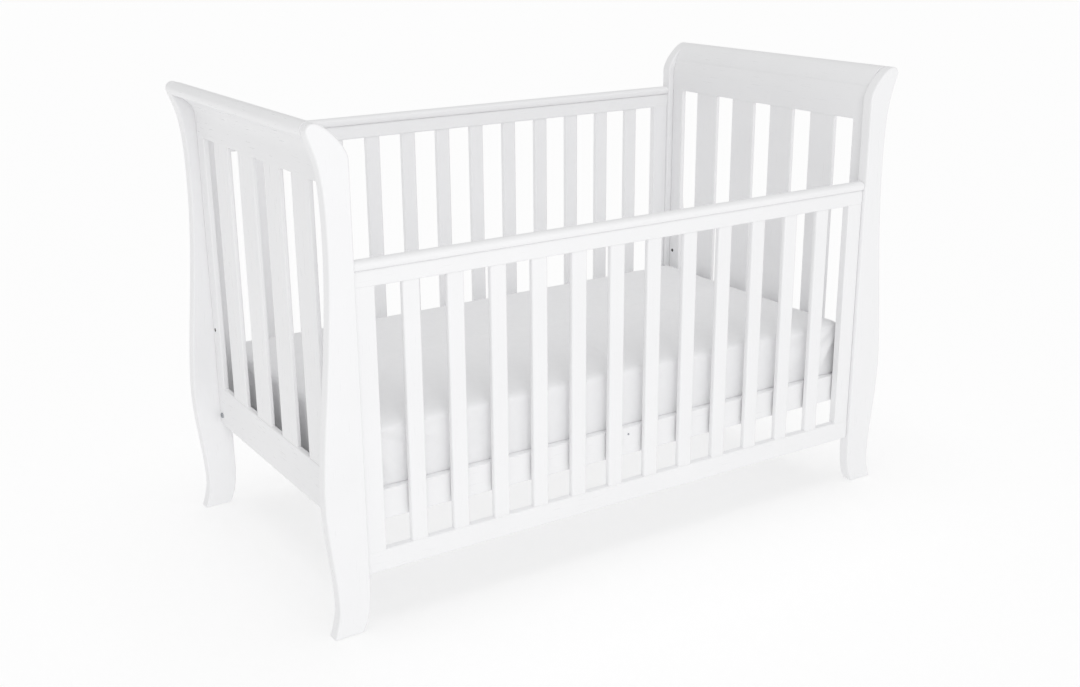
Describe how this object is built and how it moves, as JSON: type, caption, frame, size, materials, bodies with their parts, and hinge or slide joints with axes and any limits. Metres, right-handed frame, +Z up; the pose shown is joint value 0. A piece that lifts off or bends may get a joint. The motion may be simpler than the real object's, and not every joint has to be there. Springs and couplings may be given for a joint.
{
  "type": "baby crib",
  "caption": "Slatted crib with S-curved posts, scrolled end panels, a side that slides down, a two-height base and a mattress.",
  "frame": {"origin": "on the floor under the middle of the crib", "axes": "+X along the length, -Y is the front with the drop side, +Z up"},
  "size_m": [1.462, 0.765, 1.006],
  "materials": {
    "white_lacquer": "satin white lacquer on hardwood and MDF",
    "mattress_cover": "white woven cotton cover",
    "steel": "zinc-plated steel"
  },
  "bodies": {
    "frame": {"back_bottom_rail": "white_lacquer", "back_cap": "white_lacquer", "back_slat_01": "white_lacquer", "back_slat_02": "white_lacquer", "back_slat_03": "white_lacquer", "back_slat_04": "white_lacquer", "back_slat_05": "white_lacquer", "back_slat_06": "white_lacquer", "back_slat_07": "white_lacquer", "back_slat_08": "white_lacquer", "back_slat_09": "white_lacquer", "back_slat_10": "white_lacquer", "back_slat_11": "white_lacquer", "back_slat_12": "white_lacquer", "back_stile_left": "white_lacquer", "back_stile_right": "white_lacquer", "back_top_rail": "white_lacquer", "end_left_bottom_rail": "white_lacquer", "end_left_slat_1": "white_lacquer", "end_left_slat_2": "white_lacquer", "end_left_slat_3": "white_lacquer", "end_left_slat_4": "white_lacquer", "end_left_stile_back": "white_lacquer", "end_left_stile_front": "white_lacquer", "end_left_top_rail": "white_lacquer", "end_right_bottom_rail": "white_lacquer", "end_right_slat_1": "white_lacquer", "end_right_slat_2": "white_lacquer", "end_right_slat_3": "white_lacquer", "end_right_slat_4": "white_lacquer", "end_right_stile_back": "white_lacquer", "end_right_stile_front": "white_lacquer", "end_right_top_rail": "white_lacquer", "post_back_left": "white_lacquer", "post_back_right": "white_lacquer", "post_front_left": "white_lacquer", "post_front_right": "white_lacquer"},
    "drop_side": {"drop_bottom_rail": "white_lacquer", "drop_cap": "white_lacquer", "drop_slat_01": "white_lacquer", "drop_slat_02": "white_lacquer", "drop_slat_03": "white_lacquer", "drop_slat_04": "white_lacquer", "drop_slat_05": "white_lacquer", "drop_slat_06": "white_lacquer", "drop_slat_07": "white_lacquer", "drop_slat_08": "white_lacquer", "drop_slat_09": "white_lacquer", "drop_slat_10": "white_lacquer", "drop_slat_11": "white_lacquer", "drop_slat_12": "white_lacquer", "drop_stile_left": "white_lacquer", "drop_stile_right": "white_lacquer", "drop_top_rail": "white_lacquer"},
    "base": {"base_board": "white_lacquer", "base_rail_back": "white_lacquer", "base_rail_front": "white_lacquer"},
    "mattress": {"mattress": "mattress_cover"},
    "catch_left": {"catch_left": "steel"},
    "catch_right": {"catch_right": "steel"}
  },
  "joints": [
    {"name": "drop_side_slide", "type": "slide", "parent": "frame", "child": "drop_side", "axis": [0, 0, 1], "range_m": [0, 0.144]},
    {"name": "base_height", "type": "slide", "parent": "frame", "child": "base", "axis": [0, 0, 1], "range_m": [0, 0.21]},
    {"name": "mattress_lift", "type": "slide", "parent": "base", "child": "mattress", "axis": [0, 0, 1], "range_m": [0, 0.45]},
    {"name": "catch_left_slide", "type": "slide", "parent": "drop_side", "child": "catch_left", "axis": [1, 0, 0], "range_m": [0, 0.009], "stiffness_N_per_m": 400, "springref_m": -0.003},
    {"name": "catch_right_slide", "type": "slide", "parent": "drop_side", "child": "catch_right", "axis": [-1, 0, 0], "range_m": [0, 0.009], "stiffness_N_per_m": 400, "springref_m": -0.003}
  ]
}
